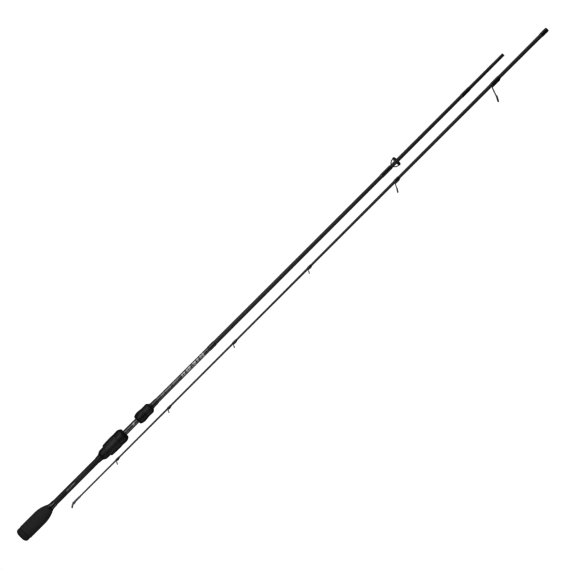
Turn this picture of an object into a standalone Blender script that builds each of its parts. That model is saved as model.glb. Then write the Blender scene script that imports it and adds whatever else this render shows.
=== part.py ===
"""A two-piece spinning rod, taken down, with its sections side by side and head to tail.

Lengths are written in millimetres and become metres when a mesh is made. On the butt section,
+X runs from the butt end towards the tip, the origin is the centre of the butt cap's flat end,
and the reel and the guides hang on the -Z side. The tip section is modelled in the same way,
from its socket's mouth, and its pivot then lays it beside the butt section.
"""
from math import cos, pi, radians, sin, sqrt, tan

import bmesh
import bpy
import numpy as np
from mathutils import Matrix, Vector

MM = 0.001
MERGE = 1e-7                 # metres, for welding points that are meant to be one
FIT = 0.1                    # radial gap between glued pieces
SEAM = 0.3                   # gap between neighbours along the rod
SLIDING_FIT = 0.25           # radial gap between pieces that slide or turn
SMOOTH_ANGLE = 40            # degrees, edges sharper than this stay sharp

# The two sections: (distance along the section, blank diameter)
BUTT_TAPER = (
    (3.8, 9.2), (173, 9.0), (262, 8.35), (310, 7.8), (450, 7.1), (860, 5.8), (1026, 5.2), (1088, 4.8),
)
TIP_TAPER = (
    (0, 6.25), (100, 5.65), (230, 5.1), (330, 4.65), (450, 3.8), (640, 2.95), (850, 2.65), (1062, 2.1),
)
BLANK_WALL = 0.8
BUTT_LENGTH = BUTT_TAPER[-1][0]
SECTION_SPACING = 21.0       # between the two axes, in Y and in Z
SOCKET_X = 1165.0            # the socket's mouth, on the butt section's scale

# The put-over ferrule
FERRULE_OVERLAP = 62.0
FERRULE_FIT = 0.08           # radial
FERRULE_APPROACH = 6.0       # from the male end to the socket's mouth before they meet
FERRULE_STROKE = FERRULE_OVERLAP + FERRULE_APPROACH
PLUG_LENGTH = 8.0
PLUG_RADIUS = 1.5
SOCKET_END_BORE = 2.0        # bore radius just past the socket
TIP_BORE_END = 760.0         # the tip section is solid beyond this

# The handle behind the reel
CAP_LENGTH = 9.6
CAP_RADIUS = 11.65
CAP_FLAT_RADIUS = 5.0
CAP_ROUNDING = 5.2
GRIP_RADIUS = 12.1
GRIP_STRAIGHT_END = 42.0
GRIP_END = 64.0
GRIP_TAPER_LENGTH = 26.0     # the curve would reach the blank here
GRIP_TAPER_DROP = 6.7
GRIP_TAPER_POWER = 2.2
GRIP_CHECK_END = 77.5

# The reel seat: a threaded barrel with a nut and a sliding hood behind the reel foot
BARREL_START = 185.3
BARREL_END = 233.0
BARREL_BORE = 5.3
THREAD_ROOT = 6.5
THREAD_CREST = 7.2
THREAD_PITCH = 4.0
KEYWAY_WIDTH = 3.0
KEYWAY_FLOOR = 6.0
KEY_GAP = 0.25
NUT_START = 173.0
NUT_END = 216.8
NUT_BORE = 4.85              # of the cone, which slides over the blank
NUT_CAVITY_START = 184.8
NUT_THREAD_START = 199.0
NUT_THREAD_END = 211.0
NUT_NECK_RADIUS = 9.9
NUT_LIP_START = 214.5
HOOD_FLANGE_START = 211.8
HOOD_FLANGE_RADIUS = 9.0
HOOD_SPIGOT_RADIUS = 8.4
HOOD_START = 219.2
HOOD_END = 234.7
HOOD_BORE = THREAD_CREST + SLIDING_FIT
SLEEVE_GAP = 0.4             # between the nut's sleeve and the hood, which does not turn
FOOT_HALF_WIDTH = 6.4        # of the pockets for the reel foot, at their mouths
FOOT_END_HALF_WIDTH = 5.0    # and at their blind ends
MOVING_POCKET_DEPTH = 12.0
MOVING_POCKET_RADIUS = 10.1

# The front unit: the fixed hood and the foregrip
FIXED_HOOD_START = 263.0
FIXED_HOOD_END = 281.0
FOOT_REST_START = 255.5      # a tongue under the blank, which the reel foot lies on
FOOT_REST_HALF_WIDTH = 3.9
FOOT_REST_LEVEL = 7.6        # below the axis
FIXED_POCKET_LEVEL = 7.2     # below the axis, so that the foot bears on the tongue
FIXED_POCKET_DEPTH = 12.5
FIXED_POCKET_RADIUS = 10.0
FRONT_ARBOR_RADIUS = 5.0
FOREGRIP_END = 294.4
FORE_CHECK_END = 308.0
LABEL_WRAP = (424.0, 438.0)
FERRULE_WRAP = (993.0, 1012.0)
SOCKET_WRAP = (0.6, 15.0)
WRAP_HEIGHT = 0.4

# Guides: distance of the leg from the section's start, wrap length, outer diameter of the ring
# holder, distance from the blank's axis to the holder's far edge, wire radius, ceramic radius,
# how many degrees the leg leans towards the tip, and how many the ring's plane does
BUTT_GUIDE = ("butt_guide", 835.2, 22.8, 16.5, 34.0, 0.7, 0.85, 28.4, 15.0)
TIP_GUIDES = (
    ("guide_1", 127.0, 19.0, 10.8, 27.0, 0.76, 0.7, 21.0, 28.0),
    ("guide_2", 344.5, 11.0, 7.7, 16.0, 0.64, 0.55, 28.0, 32.0),
    ("guide_3", 540.0, 9.0, 4.8, 7.6, 0.42, 0.34, 23.0, 28.0),
    ("guide_4", 708.0, 9.0, 4.6, 6.9, 0.42, 0.34, 25.0, 28.0),
    ("guide_5", 855.0, 8.0, 4.6, 6.5, 0.42, 0.34, 23.0, 28.0),
    ("guide_6", 971.0, 8.0, 4.6, 6.5, 0.42, 0.34, 23.0, 28.0),
)
HOLDER_DEPTH = 1.6           # of a ring holder along the line, in wire radii
CERAMIC_DEPTH = 1.7          # of a ceramic ring along the line, in radii of its section
FOOT_THICKNESS = 1.0         # of the flat foot under the wrap, in wire radii
FOOT_WIDTH = 3.0             # also in wire radii
FOOT_COVER = (0.18, 0.3)     # of the wrap over the foot: a fixed part, and one in wire radii
LEG_BEND = 0.4               # where a leg bends, as a share of the way from knee to ring
LEG_BEND_WIDTH = 0.8         # how far out it is there, as a share of the ring's side
LEG_ATTACHES = 20.0          # degrees above the ring's centre line
LEG_CLEAR = 0.1              # more room between a leg and the end of its wrap

# The tip-top
TIP_TUBE = (1051.0, 1068.0)
TIP_TUBE_RADIUS = 1.5
TIP_RING_DIAMETER = 6.2
TIP_RING_TILT = 52.0         # degrees, ring plane from square to the blank
TIP_RING_LEAD = 3.0          # from the tube's end to the ring's centre
TIP_RING_DROP = 2.3          # from the axis to the ring's centre
TIP_WIRE = 0.5               # radius of the holder's wire
TIP_HOLDER_DEPTH = 2.2       # of the ring holder along the line, in wire radii
TIP_CERAMIC = 0.48           # radius of the ceramic ring's section
TIP_LEG_WIRE = 0.45


def blank_radius(taper, along):
    places = [place for place, diameter in taper]
    radii = [diameter / 2 for place, diameter in taper]
    return float(np.interp(along, places, radii))


def butt_radius(along):
    return blank_radius(BUTT_TAPER, along)


def tip_radius(along):
    return blank_radius(TIP_TAPER, along)


def plain_material(name, colour, roughness, metallic=0.0):
    material = bpy.data.materials.new(name)
    material.use_nodes = True
    shader = material.node_tree.nodes["Principled BSDF"]
    shader.inputs["Base Color"].default_value = (*colour, 1.0)
    shader.inputs["Roughness"].default_value = roughness
    shader.inputs["Metallic"].default_value = metallic
    material.diffuse_color = (*colour, 1.0)
    return material


FINISHES = {
    "foam": ((0.018, 0.018, 0.019), 0.9, 0.0),
    "rubber": ((0.012, 0.012, 0.013), 0.7, 0.0),
    "graphite": ((0.015, 0.015, 0.017), 0.25, 0.0),
    "satin": ((0.016, 0.016, 0.017), 0.4, 0.0),
    "gloss": ((0.008, 0.008, 0.009), 0.12, 0.0),
    "steel": ((0.11, 0.11, 0.12), 0.3, 1.0),
    "ceramic": ((0.03, 0.03, 0.033), 0.15, 0.0),
}


def add_object(name, data, finish, place=(0, 0, 0), parent=None):
    """Put a mesh or a curve in the scene, with its own material, at a place in millimetres."""
    data.materials.append(plain_material(name, *FINISHES[finish]))
    piece = bpy.data.objects.new(name, data)
    bpy.context.scene.collection.objects.link(piece)
    piece.location = Vector(place) * MM
    piece.parent = parent
    return piece


def finished_mesh(bm, name):
    bmesh.ops.remove_doubles(bm, verts=bm.verts, dist=MERGE)
    bmesh.ops.recalc_face_normals(bm, faces=bm.faces)
    mesh = bpy.data.meshes.new(name)
    bm.to_mesh(mesh)
    bm.free()
    mesh.shade_smooth()
    mesh.set_sharp_from_angle(angle=radians(SMOOTH_ANGLE))
    return mesh


def as_helper(piece):
    """A shape that another piece's Boolean uses, and that is no piece of the rod itself."""
    piece.hide_render = True
    piece.display_type = "WIRE"
    return piece


def boolean(piece, helper, operation):
    modifier = piece.modifiers.new(helper.name, "BOOLEAN")
    modifier.operation = operation
    modifier.solver = "EXACT"
    modifier.object = as_helper(helper)


def underside(angle, sharpness):
    """1 straight down at -Z, falling to 0 at the sides; angle runs from +Y towards +Z."""
    return max(0.0, -sin(angle)) ** sharpness


def ring_of_points(bm, along, side, under, segments, sharpness):
    """A ring round the X axis, of radius side, growing to radius under on the -Z side."""
    ring = []
    for step in range(segments):
        angle = 2 * pi * step / segments
        radius = side + (under - side) * underside(angle, sharpness)
        ring.append(bm.verts.new(Vector((along, radius * cos(angle), radius * sin(angle))) * MM))
    return ring


def bridge(bm, ring, other):
    count = len(ring)
    for step in range(count):
        after = (step + 1) % count
        bm.faces.new((ring[step], ring[after], other[after], other[step]))


def thread_profile(share):
    """Height of the thread at a share of its pitch: 1 on the crest, 0 in the root."""
    root, flank_end, crest_end, back_end = 0.25, 0.35, 0.65, 0.75
    return float(np.interp(share, (root, flank_end, crest_end, back_end), (0, 1, 1, 0)))


def add_thread(bm, start, end, root, crest, segments, phase):
    """A right-hand helical surface from ring to ring, whose ridge fades in and out at the ends."""
    shares = (0.25, 0.35, 0.65, 0.75)
    turns = int((end - start) / THREAD_PITCH) + 3
    rows = [(turn + share, thread_profile(share)) for turn in range(-2, turns) for share in shares]

    def point(step, row):
        along = start + THREAD_PITCH * (rows[row][0] + phase + step / segments)
        fade = min((along - start) / THREAD_PITCH, (end - along) / THREAD_PITCH, 1.0)
        radius = root + (crest - root) * rows[row][1] * max(fade, 0.0)
        along = min(max(along, start), end)
        angle = 2 * pi * step / segments
        return Vector((along, radius * cos(angle), radius * sin(angle))) * MM

    grid = [[bm.verts.new(point(step, row)) for row in range(len(rows))] for step in range(segments + 1)]
    for near, far in zip(grid, grid[1:]):
        for row in range(len(rows) - 1):
            bm.faces.new((near[row], far[row], far[row + 1], near[row + 1]))


def turned(name, outline, finish, parent=None, segments=24, sharpness=1.5, thread=None):
    """A turned piece. Its outline is a closed loop of (along, radius) points, or of
    (along, radius, radius on the underside), or it starts and ends on the axis.
    thread is (number of the outline's point where it starts, root, crest, phase)."""
    start = min(point[0] for point in outline)
    bm = bmesh.new()
    rings = [ring_of_points(bm, p[0] - start, p[1], p[-1], segments, sharpness) for p in outline]
    links = list(zip(rings, rings[1:]))
    if outline[0][1] > 0:
        links.append((rings[-1], rings[0]))
    for number, (ring, other) in enumerate(links):
        if thread and thread[0] == number:
            ends = sorted(outline[n][0] - start for n in (number, number + 1))
            add_thread(bm, *ends, thread[1], thread[2], segments, thread[3])
        else:
            bridge(bm, ring, other)
    return add_object(name, finished_mesh(bm, name), finish, (start, 0, 0), parent)


def tube_over_blank(name, radius_at, outline, finish, parent=None, segments=24):
    """A turned piece glued on the blank: the outline is its outside, from rear to front."""
    front, rear = outline[-1][0], outline[0][0]
    bore = [(front, radius_at(front) + FIT), (rear, radius_at(rear) + FIT)]
    return turned(name, list(outline) + bore, finish, parent, segments)


def box(name, low, high, place=(0, 0, 0), parent=None):
    """A plain block between two corners, for use as a helper."""
    bm = bmesh.new()
    bmesh.ops.create_cube(bm, size=1.0)
    size = (Vector(high) - Vector(low)) * MM
    middle = (Vector(high) + Vector(low)) * MM / 2
    placed = Matrix.Translation(middle) @ Matrix.Diagonal((*size, 1.0))
    bmesh.ops.transform(bm, matrix=placed, verts=bm.verts)
    return add_object(name, finished_mesh(bm, name), "satin", place, parent)


def foot_pocket(name, mouth, depth, radius, level, towards):
    """The space for one end of the reel foot: flat or open above, rounded below, and slimmer
    towards its blind end. towards is +1 where it goes in along +X."""
    bm = bmesh.new()
    overshoot = 2.0
    slimmer = 0.8
    sections = []
    ends = ((mouth - towards * overshoot, radius, FOOT_HALF_WIDTH),)
    ends += ((mouth + towards * depth, radius - slimmer, FOOT_END_HALF_WIDTH),)
    for along, outer, half in ends:
        spread = np.arctan2(half, sqrt(outer ** 2 - half ** 2))
        points = [(half, -level), (-half, -level)]
        for angle in np.linspace(-spread, spread, 9):
            points.append((outer * sin(angle), -outer * cos(angle)))
        sections.append([bm.verts.new(Vector((along, y, z)) * MM) for y, z in points])
    bridge(bm, *sections)
    for section in sections:
        bm.faces.new(section)
    return add_object(name, finished_mesh(bm, name), "satin")


def hollow_blank(name, taper, bore, finish, parent=None):
    """A tapered tube. bore is the inside's outline, from the front or from the blind end."""
    outside = [(along, diameter / 2) for along, diameter in taper]
    return turned(name, outside + bore, finish, parent)


def make_butt_blank():
    front_bore = PLUG_RADIUS + SLIDING_FIT / 2
    bore = [(BUTT_LENGTH, front_bore), (BUTT_LENGTH - FERRULE_STROKE - 2 * PLUG_LENGTH, front_bore)]
    bore += [(along, diameter / 2 - BLANK_WALL) for along, diameter in reversed(BUTT_TAPER[:-2])]
    return hollow_blank("butt_blank", BUTT_TAPER, bore, "graphite")


def make_butt_cap():
    rounding = []
    for angle in np.linspace(0, pi / 2, 6):
        along = CAP_ROUNDING * (1 - cos(angle))
        radius = CAP_FLAT_RADIUS + (CAP_RADIUS - CAP_FLAT_RADIUS) * sin(angle)
        rounding.append((along, radius))
    blank_end = BUTT_TAPER[0][0] - SEAM
    bore = butt_radius(0) + FIT
    outline = [(0, 0)] + rounding
    outline += [(CAP_LENGTH - 0.6, CAP_RADIUS), (CAP_LENGTH, CAP_RADIUS - 0.4)]
    outline += [(CAP_LENGTH, bore), (blank_end, bore), (blank_end, 0)]
    return turned("butt_cap", outline, "rubber", segments=32)


def grip_radius(along):
    """The butt grip is straight, then curves down towards the blank."""
    share = max(0.0, (along - GRIP_STRAIGHT_END) / GRIP_TAPER_LENGTH)
    return GRIP_RADIUS - GRIP_TAPER_DROP * share ** GRIP_TAPER_POWER


def make_butt_grip():
    start = CAP_LENGTH + SEAM
    outline = [(start, GRIP_RADIUS - 0.5), (start + 0.6, GRIP_RADIUS)]
    outline += [(along, grip_radius(along)) for along in np.linspace(GRIP_STRAIGHT_END, GRIP_END, 9)]
    tube_over_blank("butt_grip", butt_radius, outline, "foam")
    check = [(GRIP_END + SEAM, grip_radius(GRIP_END) - 0.2), (GRIP_END + 1.4, grip_radius(GRIP_END + 1.4))]
    check += [(67.5, 5.75), (70.0, 5.3), (73.0, 5.05), (GRIP_CHECK_END - 0.5, 4.95), (GRIP_CHECK_END, 4.8)]
    tube_over_blank("butt_grip_check", butt_radius, check, "gloss")


def make_seat_barrel():
    """The arbor on the blank, and the threaded and keyed barrel on the arbor."""
    arbor = [(BARREL_START + 0.5, BARREL_BORE - FIT), (BARREL_END - 0.5, BARREL_BORE - FIT)]
    bore = butt_radius(BARREL_START) + FIT
    arbor += [(BARREL_END - 0.5, bore), (BARREL_START + 0.5, bore)]
    turned("rear_arbor", arbor, "foam")
    barrel = [(BARREL_START, THREAD_ROOT), (BARREL_END, THREAD_ROOT)]
    barrel += [(BARREL_END, BARREL_BORE), (BARREL_START, BARREL_BORE)]
    piece = turned("seat_barrel", barrel, "satin", segments=16, thread=(0, THREAD_ROOT, THREAD_CREST, 0.0))
    low = (BARREL_START - 2, -KEYWAY_WIDTH / 2, KEYWAY_FLOOR)
    high = (BARREL_END + 2, KEYWAY_WIDTH / 2, THREAD_CREST + 2)
    boolean(piece, box("keyway", low, high), "DIFFERENCE")


def make_lock_nut():
    """The cone, the ring and the neck are one piece, threaded inside; its lip pulls the hood back."""
    outline = [(NUT_START, NUT_BORE + 0.15), (178.0, 5.2), (180.4, 5.7), (182.0, 6.5), (183.0, 7.4)]
    outline += [(184.2, 8.15), (186.0, 8.6), (188.0, 8.75), (193.4, 8.75), (194.4, 8.3)]
    outline += [(194.6, NUT_NECK_RADIUS), (NUT_END, NUT_NECK_RADIUS)]
    lip = HOOD_SPIGOT_RADIUS + SLIDING_FIT
    recess = HOOD_FLANGE_RADIUS + SLIDING_FIT
    outline += [(NUT_END, lip), (NUT_LIP_START, lip), (NUT_LIP_START, recess), (NUT_THREAD_END, recess)]
    thread_root = THREAD_CREST + SLIDING_FIT
    outline += [(NUT_THREAD_END, thread_root), (NUT_THREAD_START, thread_root)]
    outline += [(NUT_CAVITY_START, thread_root), (NUT_CAVITY_START, NUT_BORE), (NUT_START, NUT_BORE)]
    thread_number = outline.index((NUT_THREAD_END, thread_root))
    phase = ((BARREL_START - NUT_THREAD_START) / THREAD_PITCH + 0.5) % 1.0
    thread = (thread_number, thread_root, THREAD_ROOT + SLIDING_FIT, phase)
    turned("lock_nut", outline, "satin", thread=thread)
    end = HOOD_START - SLEEVE_GAP
    sleeve = [(195.0, 10.5), (196.6, 10.95), (205.0, 11.4), (213.0, 11.6), (end - 0.5, 11.4), (end, 11.1)]
    sleeve += [(end, NUT_NECK_RADIUS + FIT), (195.0, NUT_NECK_RADIUS + FIT)]
    turned("lock_nut_sleeve", sleeve, "foam", segments=32)


def make_moving_hood():
    flange_end = HOOD_FLANGE_START + 1.8
    outside = [(HOOD_FLANGE_START, HOOD_FLANGE_RADIUS), (flange_end, HOOD_FLANGE_RADIUS)]
    outside += [(flange_end, HOOD_SPIGOT_RADIUS), (HOOD_START, HOOD_SPIGOT_RADIUS)]
    outside = [(along, radius, radius) for along, radius in outside]
    outside += [(HOOD_START, 11.0, 11.6), (HOOD_START + 0.8, 11.3, 12.0), (224.0, 11.5, 12.2)]
    outside += [(227.5, 11.6, 12.3), (230.0, 11.2, 12.3), (232.0, 10.3, 12.2), (233.0, 9.5, 12.1)]
    outside += [(233.9, 8.6, 12.0), (HOOD_END, 7.8, 11.7)]
    bore = [(HOOD_END, HOOD_BORE, HOOD_BORE), (HOOD_FLANGE_START, HOOD_BORE, HOOD_BORE)]
    piece = turned("moving_hood", outside + bore, "satin", segments=32)
    pocket = foot_pocket("moving_pocket", HOOD_END, MOVING_POCKET_DEPTH, MOVING_POCKET_RADIUS, 4.0, -1)
    boolean(piece, pocket, "DIFFERENCE")
    half_key = KEYWAY_WIDTH / 2 - KEY_GAP
    low = (HOOD_START - 4, -half_key, KEYWAY_FLOOR + KEY_GAP)
    key = box("key", low, (HOOD_START + 10, half_key, HOOD_BORE + 0.4))
    boolean(piece, key, "UNION")


def foot_rest():
    """The tongue that the reel foot lies on. It meets the hood above the pocket's flat side."""
    top = -butt_radius(FOOT_REST_START) - SEAM
    rooted = FIXED_HOOD_START + 0.8
    side = [(FOOT_REST_START, top), (FOOT_REST_START, -FOOT_REST_LEVEL)]
    side += [(FIXED_HOOD_START - SEAM, -FOOT_REST_LEVEL), (rooted, -FIXED_POCKET_LEVEL + SEAM)]
    side.append((rooted, top))
    bm = bmesh.new()
    faces = []
    for half in (-FOOT_REST_HALF_WIDTH, FOOT_REST_HALF_WIDTH):
        faces.append([bm.verts.new(Vector((along, half, height)) * MM) for along, height in side])
    bridge(bm, *faces)
    for face in faces:
        bm.faces.new(face)
    return add_object("foot_rest", finished_mesh(bm, "foot_rest"), "satin")


def make_front_unit():
    """The arbor on the blank, with the fixed hood and the foregrip on it."""
    arbor_bore = butt_radius(FIXED_HOOD_START) + FIT
    start, end = FIXED_HOOD_START + 1, FOREGRIP_END - 1
    arbor = [(start, FRONT_ARBOR_RADIUS), (end, FRONT_ARBOR_RADIUS), (end, arbor_bore), (start, arbor_bore)]
    turned("front_arbor", arbor, "foam")
    bore = FRONT_ARBOR_RADIUS + FIT
    outline = [(FIXED_HOOD_START, 6.3, 11.3), (263.7, 7.2, 11.5), (264.8, 8.0, 11.6), (266.2, 8.65, 11.7)]
    outline += [(269.0, 9.35, 11.7), (272.5, 9.65, 11.6), (276.0, 9.3, 10.8), (279.0, 8.95, 9.6)]
    outline += [(FIXED_HOOD_END, 8.75, 8.8), (FIXED_HOOD_END, bore, bore), (FIXED_HOOD_START, bore, bore)]
    hood = turned("fixed_hood", outline, "satin", segments=32)
    depth, radius, level = FIXED_POCKET_DEPTH, FIXED_POCKET_RADIUS, FIXED_POCKET_LEVEL
    pocket = foot_pocket("fixed_pocket", FIXED_HOOD_START, depth, radius, level, 1)
    boolean(hood, pocket, "DIFFERENCE")
    boolean(hood, foot_rest(), "UNION")
    start = FIXED_HOOD_END + SEAM
    grip = [(start, 8.6), (start + 0.5, 8.75), (285.5, 8.75), (288.5, 8.95), (290.6, 8.85), (291.8, 8.3)]
    grip += [(292.8, 7.5), (293.6, 6.6), (FOREGRIP_END, 5.6), (FOREGRIP_END, bore), (start, bore)]
    turned("foregrip", grip, "foam", segments=32)
    check = [(FOREGRIP_END + SEAM, 5.3), (295.8, 4.95), (297.4, 4.65), (303.0, 4.55), (FORE_CHECK_END, 4.15)]
    tube_over_blank("foregrip_check", butt_radius, check, "gloss")


def make_band(name, radius_at, ends, height, parent=None):
    """A plain thread wrap, rounded at both ends by its coat of epoxy."""
    start, end = ends
    edge = 1.2
    outline = [(start, radius_at(start) + FIT + 0.12), (start + edge, radius_at(start) + height)]
    outline += [(end - edge, radius_at(end) + height), (end, radius_at(end) + FIT + 0.12)]
    return tube_over_blank(name, radius_at, outline, "gloss", parent)


def wrap_ramp(length):
    """How far into a guide's wrap the foot starts."""
    return min(3.0, length / 3)


def make_guide_wrap(name, radius_at, leg, length, wire, parent):
    """A wrap over a guide's foot: it swells on the underside, where it covers the foot."""
    start, end = leg - length, leg - 0.4
    foot = FOOT_THICKNESS * wire + FOOT_COVER[0] + FOOT_COVER[1] * wire
    skin = WRAP_HEIGHT
    near, far = radius_at(start) + FIT, radius_at(end) + FIT
    ramp = start + wrap_ramp(length)
    outline = [(start, near + 0.1, near + 0.1), (start + 0.8, near + skin, near + skin)]
    outline += [(ramp, near + skin, near + foot + skin), (end - 0.8, far + skin, far + foot + skin)]
    outline += [(end, far + 0.15, far + foot + 0.15), (end, far, far + foot)]
    outline += [(ramp + 0.5, near, near + foot), (start + 0.8, near, near), (start, near, near)]
    return turned(name, outline, "gloss", parent, segments=16, sharpness=2.5)


def tilted(degrees):
    """Straight away from the blank, tilted towards the tip."""
    return Vector((sin(radians(degrees)), 0, -cos(radians(degrees))))


def ring_centre(radius, diameter, reach, lean, tilt):
    """Where a guide's ring stands, from the place of its leg on the axis."""
    drop = reach - diameter / 2 * cos(radians(tilt))
    return Vector(((drop - radius) * tan(radians(lean)), 0, -drop))


def add_torus(bm, centre, outward, radius, section, depth, steps, sides):
    """A ring of oval section, lying in the plane of Y and outward. depth is across that plane."""
    across = Vector((0, 1, 0))
    normal = across.cross(outward)
    loops = []
    for step in range(steps):
        turn = 2 * pi * step / steps
        arm = across * cos(turn) + outward * sin(turn)
        loop = []
        for side in range(sides):
            lift = 2 * pi * side / sides
            point = centre + arm * (radius + section * cos(lift)) + normal * (depth * sin(lift))
            loop.append(bm.verts.new(point * MM))
        loops.append(loop)
    for loop, other in zip(loops, loops[1:] + loops[:1]):
        bridge(bm, loop, other)


def torus_piece(name, centre, outward, radius, section, depth, steps, finish, place, parent):
    bm = bmesh.new()
    add_torus(bm, centre, outward, radius, section, depth * section, steps, steps // 3)
    return add_object(name, finished_mesh(bm, name), finish, place, parent)


def bent_wire(name, points, wire, place, parent):
    """A capped round wire through the points, as a mesh, for use as a helper."""
    curve = bpy.data.curves.new(name, "CURVE")
    curve.dimensions = "3D"
    curve.bevel_depth = wire * MM
    curve.bevel_resolution = 1
    curve.use_fill_caps = True
    curve.resolution_u = 1
    curve.render_resolution_u = 0
    spline = curve.splines.new("POLY")
    spline.points.add(len(points) - 1)
    for spot, point in zip(spline.points, points):
        spot.co = (*(Vector(point) * MM), 1.0)
    source = bpy.data.objects.new(name, curve)
    mesh = bpy.data.meshes.new_from_object(source)
    bpy.data.objects.remove(source)
    bm = bmesh.new()
    bm.from_mesh(mesh)
    bpy.data.meshes.remove(mesh)
    return add_object(name, finished_mesh(bm, name), "steel", place, parent)


def leg_path(centre, outward, holder, radius, wire):
    """Two bowed legs from the ring's sides to a short bend against the blank."""
    rise, width = sin(radians(LEG_ATTACHES)), cos(radians(LEG_ATTACHES))
    side = centre - outward * holder * rise + Vector((0, holder * width, 0))
    knee = Vector((wire + LEG_CLEAR, wire, -radius - FIT - wire))
    bend = knee.lerp(side, LEG_BEND)
    bend.y = side.y * LEG_BEND_WIDTH
    one = [side, bend, knee]
    return one + [Vector((point.x, -point.y, point.z)) for point in reversed(one)]


def make_guide(guide, radius_at, parent):
    """A single-foot guide: ring holder, legs and foot in one frame, a ceramic ring, and its wrap."""
    name, leg, wrap, diameter, reach, wire, ceramic, lean, tilt = guide
    radius = radius_at(leg)
    centre, outward = ring_centre(radius, diameter, reach, lean, tilt), tilted(tilt)
    place = (leg, 0, 0)
    holder = diameter / 2 - wire
    steps = 24 if diameter > 6 else 16
    frame = torus_piece(
        f"{name}_frame", centre, outward, holder, wire, HOLDER_DEPTH, steps, "steel", place, parent
    )
    path = leg_path(centre, outward, holder, radius, wire)
    boolean(frame, bent_wire(f"{name}_legs", path, wire, place, parent), "UNION")
    half = FOOT_WIDTH * wire / 2
    top = -radius_at(leg - wrap) - FIT
    low = (wrap_ramp(wrap) + 0.8 - wrap, -half, top - FOOT_THICKNESS * wire)
    boolean(frame, box(f"{name}_foot", low, (1.3 * wire + LEG_CLEAR, half, top), place, parent), "UNION")
    insert = holder - wire - FIT - ceramic
    torus_piece(
        f"{name}_ring", centre, outward, insert, ceramic, CERAMIC_DEPTH, steps, "ceramic", place, parent
    )
    make_guide_wrap(f"{name}_wrap", radius_at, leg, wrap, wire, parent)


def make_tip_top(parent):
    """The tube over the tip of the blank, the ring holder on its end, and the ceramic ring."""
    start, end = TIP_TUBE
    bore = tip_radius(start) + FIT
    cap = end - 1.0
    tube = [(cap, 0), (cap, bore), (start, bore), (start, bore + 0.15), (start + 0.6, TIP_TUBE_RADIUS)]
    tube += [(end - 0.4, TIP_TUBE_RADIUS), (end, 0.8), (end, 0)]
    frame = turned("tip_top_frame", tube, "steel", parent, segments=16)
    centre, outward = Vector((end - start + TIP_RING_LEAD, 0, -TIP_RING_DROP)), tilted(TIP_RING_TILT)
    holder = TIP_RING_DIAMETER / 2 - TIP_WIRE
    place = (start, 0, 0)
    steps = 20
    ring = torus_piece(
        "tip_top_holder", centre, outward, holder, TIP_WIRE, TIP_HOLDER_DEPTH, steps, "steel", place, parent
    )
    boolean(frame, ring, "UNION")
    foot = Vector((end - start - 5.0, 0.3, -TIP_TUBE_RADIUS))
    side = centre + Vector((0, holder, 0))
    one = [side, foot + Vector((1.6, 0.45, -0.35)), foot]
    path = one + [Vector((point.x, -point.y, point.z)) for point in reversed(one)]
    boolean(frame, bent_wire("tip_top_legs", path, TIP_LEG_WIRE, place, parent), "UNION")
    insert = holder - TIP_WIRE - FIT - TIP_CERAMIC
    torus_piece(
        "tip_top_ring", centre, outward, insert, TIP_CERAMIC, CERAMIC_DEPTH, steps, "ceramic", place, parent
    )


def make_ferrule_plug():
    start, end = BUTT_LENGTH - PLUG_LENGTH - 0.5, BUTT_LENGTH - 0.5
    outline = [(start, 0), (start, PLUG_RADIUS - 0.3), (start + 0.5, PLUG_RADIUS)]
    outline += [(end - 0.3, PLUG_RADIUS), (end, PLUG_RADIUS - 0.3), (end, 0)]
    turned("ferrule_plug", outline, "rubber", segments=16)


def make_tip_blank(parent):
    male_start = BUTT_LENGTH - FERRULE_OVERLAP
    mouth = butt_radius(male_start) + FERRULE_FIT
    seat_end = butt_radius(BUTT_LENGTH) + FERRULE_FIT
    bore = [(TIP_BORE_END, 0), (TIP_BORE_END - 4, 0.5), (FERRULE_OVERLAP + 9, SOCKET_END_BORE)]
    bore += [(FERRULE_OVERLAP + 2, seat_end), (0, mouth)]
    outside = [(along, diameter / 2) for along, diameter in TIP_TAPER]
    tip = TIP_TAPER[-1][0]
    turned("tip_blank", bore + outside + [(tip, 0)], "graphite", parent)


def add_empty(name, place, parent=None):
    empty = bpy.data.objects.new(name, None)
    empty.empty_display_size = 0.02
    bpy.context.scene.collection.objects.link(empty)
    empty.location = Vector(place) * MM
    empty.parent = parent
    return empty


def tip_section_axis():
    """The tip section swings half a turn about a diagonal axis through this pivot, from beside
    the butt section to in line with it, and its guides end up under the rod."""
    in_line = BUTT_LENGTH + FERRULE_APPROACH
    half = SECTION_SPACING / 2
    pivot = add_empty("section_pivot", ((SOCKET_X + in_line) / 2, -half, half))
    pivot.rotation_mode = "QUATERNION"
    pivot.rotation_quaternion = (0, 0, sqrt(0.5), sqrt(0.5))
    return add_empty("tip_axis", ((in_line - SOCKET_X) / 2, half, -half), pivot)


def make_rod():
    make_butt_blank()
    make_butt_cap()
    make_butt_grip()
    make_seat_barrel()
    make_lock_nut()
    make_moving_hood()
    make_front_unit()
    make_band("label_wrap", butt_radius, LABEL_WRAP, WRAP_HEIGHT)
    make_guide(BUTT_GUIDE, butt_radius, None)
    make_band("ferrule_wrap", butt_radius, FERRULE_WRAP, WRAP_HEIGHT)
    make_ferrule_plug()
    axis = tip_section_axis()
    make_tip_blank(axis)
    make_band("socket_wrap", tip_radius, SOCKET_WRAP, WRAP_HEIGHT, axis)
    for guide in TIP_GUIDES:
        make_guide(guide, tip_radius, axis)
    make_tip_top(axis)


for old in list(bpy.data.objects):
    bpy.data.objects.remove(old)
make_rod()
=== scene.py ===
"""The looks of a two-piece spinning rod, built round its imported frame.

Shapes are worked out in millimetres on the axis of the section they belong to: X runs from the
section's start towards the tip, and the reel and the guides hang on the -Z side. Places and radii
come from the frame, by measuring its nodes.
"""
from math import atan2, cos, pi, radians, sin

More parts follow.
